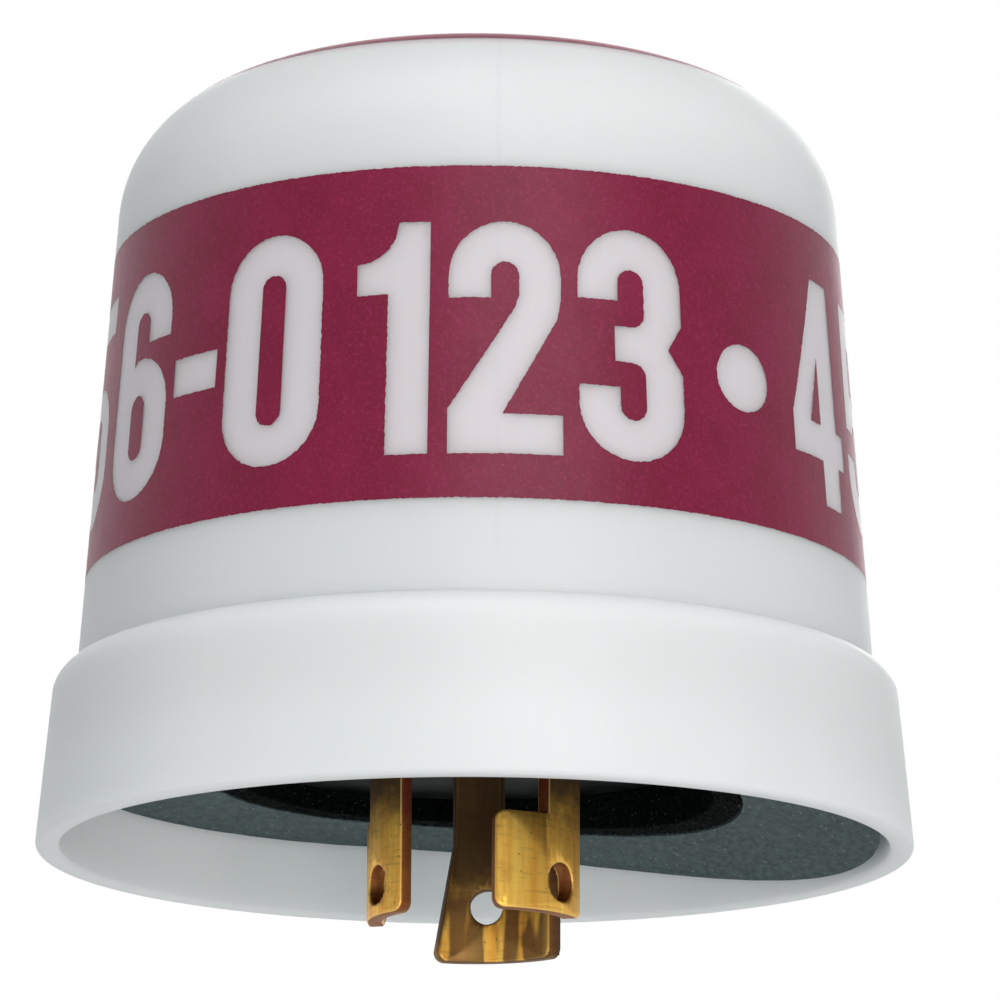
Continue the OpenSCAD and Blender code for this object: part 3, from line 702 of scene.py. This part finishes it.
def makeBlade(blade, material):
    shape = bladeShape
    thick = shape["outer"] - shape["inner"]
    tip = -blade["shank"] - blade["tab"]
    bm = drawBlade(blade).fill()
    bmesh.ops.inset_region(bm, faces=bm.faces[:], thickness=shape["burr"], use_even_offset=True,
                           use_boundary=True)
    upright(bm, shape["strip"])
    depth = {vert: shape["burr"] if vert.is_boundary else 0.0 for vert in bm.verts}
    rim = [edge for edge in bm.edges if edge.is_boundary]
    copied = bmesh.ops.duplicate(bm, geom=everything(bm))
    for first, second in copied["vert_map"].items():
        if first in depth and second not in depth:
            depth[second] = thick - depth[first]
    side = bmesh.ops.extrude_edge_only(bm, edges=rim)
    for item in side["geom"]:
        if isinstance(item, bmesh.types.BMVert):
            depth[item] = thick - shape["burr"]
    for vert in bm.verts:
        turn = math.radians(blade["turn"]) + vert.co.x / bendRadius
        near = 1 - math.hypot(vert.co.x - tip, vert.co.z + blade["drop"]) / shape["curlReach"]
        curl = blade["curl"] * max(0.0, near) ** 2  # a knocked corner
        vert.co = around(shape["outer"] - depth[vert] + curl, turn, vert.co.z)
    bmesh.ops.remove_doubles(bm, verts=bm.verts[:], dist=1e-4)
    bmesh.ops.recalc_face_normals(bm, faces=bm.faces[:])
    piece = newPiece(blade["node"].replace("_b", "B"), bm, material, 50.0)
    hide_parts(blade["node"])


brass = brassFinish()
for blade in bladeSet:
    makeBlade(blade, brass)


# Finishes for the solids inside

tinned = tone(200, 200, 196)
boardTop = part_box("circuit_board")[1].z
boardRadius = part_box("circuit_board")[1].x


def paler(base):
    return tuple(min(1.0, value * 1.25 + 0.01) for value in base[:3]) + (1.0,)


def mouldedFinish(name, base, rough=0.4, gloss=0.5, metalBelow=None, line=None):
    part = Finish(name)
    cloud = part.grain(240.0, 3.0)
    fine = part.grain(1800.0, 2.0)
    colour = part.blend(cloud.step(0.3, 0.7), base, paler(base))
    metal = 0.0
    if line:  # a joint line round a sealed case
        joint = 1 - abs(part.z - line).step(0.00008, 0.00016)
        colour = part.blend(joint * 0.7, colour, tone(12, 14, 18))
    if metalBelow is not None:
        metal = 1 - part.z.step(metalBelow - 0.0001, metalBelow)
        colour = part.blend(metal, colour, tinned)
    normal = part.bump(fine, 0.00003, 0.6)
    dull = rough + cloud * 0.12
    return part.principled(colour=colour, rough=dull, metal=metal, normal=normal, gloss=gloss)


def bandedFinish(name, base, axis, centre, half, stripes, rough=0.4):  # lying body, tinned leads
    part = Finish(name)
    cloud = part.grain(600.0, 3.0)
    along = getattr(part, axis) - (centre(part) if callable(centre) else centre)
    inside = 1 - abs(along).step(half - 0.00005, half)
    colour = part.blend(cloud.step(0.3, 0.7), base, paler(base))
    for place, width, shade in stripes:
        stripe = 1 - abs(along - place).step(width / 2, width / 2 + 0.00006)
        colour = part.blend(stripe, colour, shade)
    colour = part.blend(inside, tinned, colour)
    normal = part.bump(cloud, 0.00003, 0.5)
    return part.principled(colour=colour, rough=rough + cloud * 0.1, metal=1 - inside, normal=normal)


def laminateFinish():
    board = Finish("boardLaminate")
    weave = board.grain(1600.0, 2.0)
    cloud = board.grain(90.0, 2.0)
    pitch = 0.00254
    across = 1 - abs((board.x * (1 / pitch)).math("FRACT") - 0.5).step(0.1, 0.14)
    down = 1 - abs((board.y * (1 / pitch)).math("FRACT") - 0.5).step(0.1, 0.14)
    tracks = across * cloud.step(0.5, 0.52) + down * (1 - cloud.step(0.44, 0.46))
    colour = board.blend(weave.step(0.35, 0.65), tone(34, 84, 54), tone(44, 98, 64))
    colour = board.blend(tracks.step(0.2, 0.8) * 0.8, colour, tone(74, 134, 82))
    normal = board.bump(tracks + weave * 0.2, 0.00004, 0.8)
    return board.principled(colour=colour, rough=0.28 + weave * 0.12, normal=normal)


def canFinish():
    can = Finish("canSleeve")
    low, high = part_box("smoothing_capacitor")
    radius = (high.x - low.x) / 2
    cloud = can.grain(300.0, 3.0)
    brushed = can.grain(1500.0, 2.0, where=can.stretched((0.1, 1.0, 1.0)))
    stripe = (can.x - (low.x + high.x) / 2).step(radius * 0.74, radius * 0.76)
    bare = can.z.step(high.z - 0.0002, high.z - 0.0001) + 1 - can.z.step(boardTop - 0.0001, boardTop)
    colour = can.blend(cloud.step(0.3, 0.7), tone(30, 36, 76), tone(40, 48, 92))
    colour = can.blend(stripe * 0.85, colour, tone(190, 194, 204))
    colour = can.blend(bare, colour, tone(204, 206, 208))
    normal = can.bump(brushed, 0.00003, 0.5)
    return can.principled(colour=colour, rough=0.26 + cloud * 0.12, metal=bare, normal=normal)


def cellFinish():
    cell = Finish("cellFace")
    low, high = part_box("photocell")
    rise = high.z - (high.x - low.x) / 2
    up = cell.z - rise
    fromMiddle = (cell.x * cell.x + up * up) ** 0.5
    grain = cell.grain(2500.0, 3.0)
    front = 1 - cell.y.step(low.y + 0.0001, low.y + 0.0003)
    comb = 1 - abs((up * 760.0).math("FRACT") - 0.5).step(0.17, 0.22)
    window = (1 - abs(cell.x).step(0.0032, 0.0034)) * (1 - fromMiddle.step(0.0043, 0.0045)) * front
    leads = 1 - cell.z.step(low.z + 0.014, low.z + 0.0141)
    colour = cell.blend(grain.step(0.35, 0.65), tone(206, 196, 172), tone(222, 212, 190))
    colour = cell.blend(window, colour, tone(176, 74, 40))
    colour = cell.blend(window * comb, colour, tone(214, 216, 214))
    colour = cell.blend(leads, colour, tinned)
    normal = cell.bump(grain, 0.00002, 0.5)
    return cell.principled(colour=colour, rough=0.18 + grain * 0.1, metal=leads, normal=normal, coat=0.4)


def resistorCentre(part):  # the third resistor lies behind, nearer the middle
    behind = part.y.step(boardRadius * 0.3, boardRadius * 0.31)
    return behind * (boardRadius * 0.242) - boardRadius * 0.606


def middleOf(node, axis):
    low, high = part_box(node)
    return (getattr(low, axis) + getattr(high, axis)) / 2


def dress(node, material):
    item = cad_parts[node]
    item.data.materials.clear()
    item.data.materials.append(material)


steel = mouldedFinish("zincSteel", tone(190, 190, 188), 0.3, metalBelow=1.0)
diodeStripes = [(-0.0017, 0.0007, tone(200, 202, 204))]
zenerStripes = [(0.0012, 0.0005, tone(20, 20, 20))]
resistorStripes = [(-0.0021, 0.0006, tone(104, 60, 32)), (-0.0009, 0.0006, tone(18, 18, 18)),
                   (0.0003, 0.0006, tone(206, 110, 36)), (0.002, 0.0006, tone(170, 130, 50))]
dropperStripes = [(-0.0036, 0.0009, tone(206, 168, 44)), (-0.0018, 0.0009, tone(110, 60, 130)),
                  (0.0, 0.0009, tone(104, 60, 32)), (0.0032, 0.0009, tone(170, 130, 50))]
dress("base_plate", mouldedFinish("baseMoulding", tone(8, 11, 10), 0.42, gloss=0.05))
dress("clamp_plate", mouldedFinish("paperLaminate", tone(138, 106, 74), 0.5))
dress("clamp_screw", steel)
dress("board_screws", steel)
dress("circuit_board", laminateFinish())
relayLine = boardTop + 0.0011
dress("relay", mouldedFinish("relayCase", tone(36, 66, 140), 0.35, metalBelow=boardTop, line=relayLine))
dress("surge_arrester", mouldedFinish("arresterCoat", tone(46, 98, 160), 0.4,
                                      metalBelow=boardTop + 0.001))
dress("film_capacitor", mouldedFinish("filmCase", tone(206, 168, 60), 0.35, metalBelow=boardTop))
dress("smoothing_capacitor", canFinish())
dress("bridge_diodes", bandedFinish("diodeBody", tone(30, 30, 30), "x", middleOf("bridge_diodes", "x"),
                                    0.0026, diodeStripes, 0.45))
dress("zener_diode", bandedFinish("zenerGlass", tone(176, 94, 44), "y", middleOf("zener_diode", "y"),
                                  0.0019, zenerStripes, 0.12))
dress("signal_resistors", bandedFinish("resistorLacquer", tone(206, 180, 132), "x", resistorCentre,
                                       0.00315, resistorStripes))
dress("dropper_resistor", bandedFinish("dropperCoat", tone(116, 140, 130), "y",
                                       middleOf("dropper_resistor", "y"), 0.0055, dropperStripes, 0.5))
dress("transistor", mouldedFinish("transistorBody", tone(34, 34, 34), 0.45, metalBelow=boardTop + 0.003))
dress("photocell", cellFinish())
dress("photocell_stand", mouldedFinish("standMoulding", tone(216, 216, 208), 0.45))
dress("solder_joints", mouldedFinish("brightSolder", tone(196, 198, 202), 0.25, metalBelow=1.0))
print("solids dressed")


# Camera, light and floor

cameraPlace = {"distance": 0.5, "height": -0.08714, "pitch": 13.728, "yaw": 0.264, "roll": 0.205,
               "lens": 190.37, "sensor": 36.0}


def makeCamera():
    place = cameraPlace
    pitch, yaw, roll = (math.radians(place[key]) for key in ("pitch", "yaw", "roll"))
    ahead = Vector((math.cos(pitch) * math.sin(yaw), math.cos(pitch) * math.cos(yaw), math.sin(pitch)))
    right = Vector((math.cos(yaw), -math.sin(yaw), 0))
    up = right.cross(ahead)
    turnedRight = right * math.cos(roll) + up * math.sin(roll)
    turnedUp = up * math.cos(roll) - right * math.sin(roll)
    data = bpy.data.cameras.new("photoCamera")
    data.lens = place["lens"]
    data.sensor_width = place["sensor"]
    data.clip_start = 0.01
    camera = bpy.data.objects.new("photoCamera", data)
    scene.collection.objects.link(camera)
    turn = Matrix((turnedRight, turnedUp, -ahead)).transposed().to_4x4()
    camera.matrix_world = Matrix.Translation((0, -place["distance"], place["height"])) @ turn
    scene.camera = camera


lampSet = [
    {"name": "frontBox", "at": (0.26, -0.98, 0.4), "wide": 0.85, "tall": 0.2, "power": 3.75},
    {"name": "underBox", "at": (0.28, -0.88, -0.33), "wide": 0.4, "tall": 0.4, "power": 2.6},
    {"name": "backBox", "at": (0.1, 1.0, 0.5), "wide": 0.7, "tall": 0.5, "power": 2.4},
    {"name": "topBox", "at": (-0.16, -0.54, 0.88), "wide": 0.6, "tall": 0.6, "power": 2.8},
]


def makeLamp(lamp):
    data = bpy.data.lights.new(lamp["name"], "AREA")
    data.shape = "RECTANGLE"
    data.size = lamp["wide"]
    data.size_y = lamp["tall"]
    data.energy = lamp["power"]
    item = bpy.data.objects.new(lamp["name"], data)
    scene.collection.objects.link(item)
    aim = Vector((0, 0, 0.035)) - Vector(lamp["at"])
    turn = aim.to_track_quat("-Z", "Y").to_matrix().to_4x4()
    item.matrix_world = Matrix.Translation(lamp["at"]) @ turn


studio = {"fill": 0.32, "fillTint": (0.9, 0.97, 1, 1), "white": (1, 1, 1, 1),
          "floorDrop": 0.5, "floorHalf": 2.0, "floorGlow": 0.28}


def makeWorld():
    world = bpy.data.worlds.new("studio")
    scene.world = world
    world.use_nodes = True
    room = Shading(world.node_tree)
    seen = room.seen()
    strength = room.add("MapRange", None, {"Value": seen, "To Min": studio["fill"], "To Max": 1.0})
    tint = room.blend(seen, studio["fillTint"], studio["white"])
    light = room.add("Background", None, {"Color": tint, "Strength": strength})
    room.add("OutputWorld", None, {"Surface": light}, out=None)


def makeFloor():
    bm = bmesh.new()
    bmesh.ops.create_grid(bm, x_segments=1, y_segments=1, size=studio["floorHalf"],
                          matrix=Matrix.Translation((0, 0, -studio["floorDrop"])))
    mesh = bpy.data.meshes.new("floor")
    bm.to_mesh(mesh)
    bm.free()
    floor = bpy.data.objects.new("floor", mesh)
    scene.collection.objects.link(floor)
    paper = Finish("paleFloor")
    glow = paper.blend(paper.seen(), (0, 0, 0, 1), studio["white"])
    mesh.materials.append(paper.principled(colour=tone(240, 240, 240), rough=0.8, glow=glow,
                                           glowPower=studio["floorGlow"]))


makeCamera()
for lamp in lampSet:
    makeLamp(lamp)
makeWorld()
makeFloor()
print("camera, light and floor set")
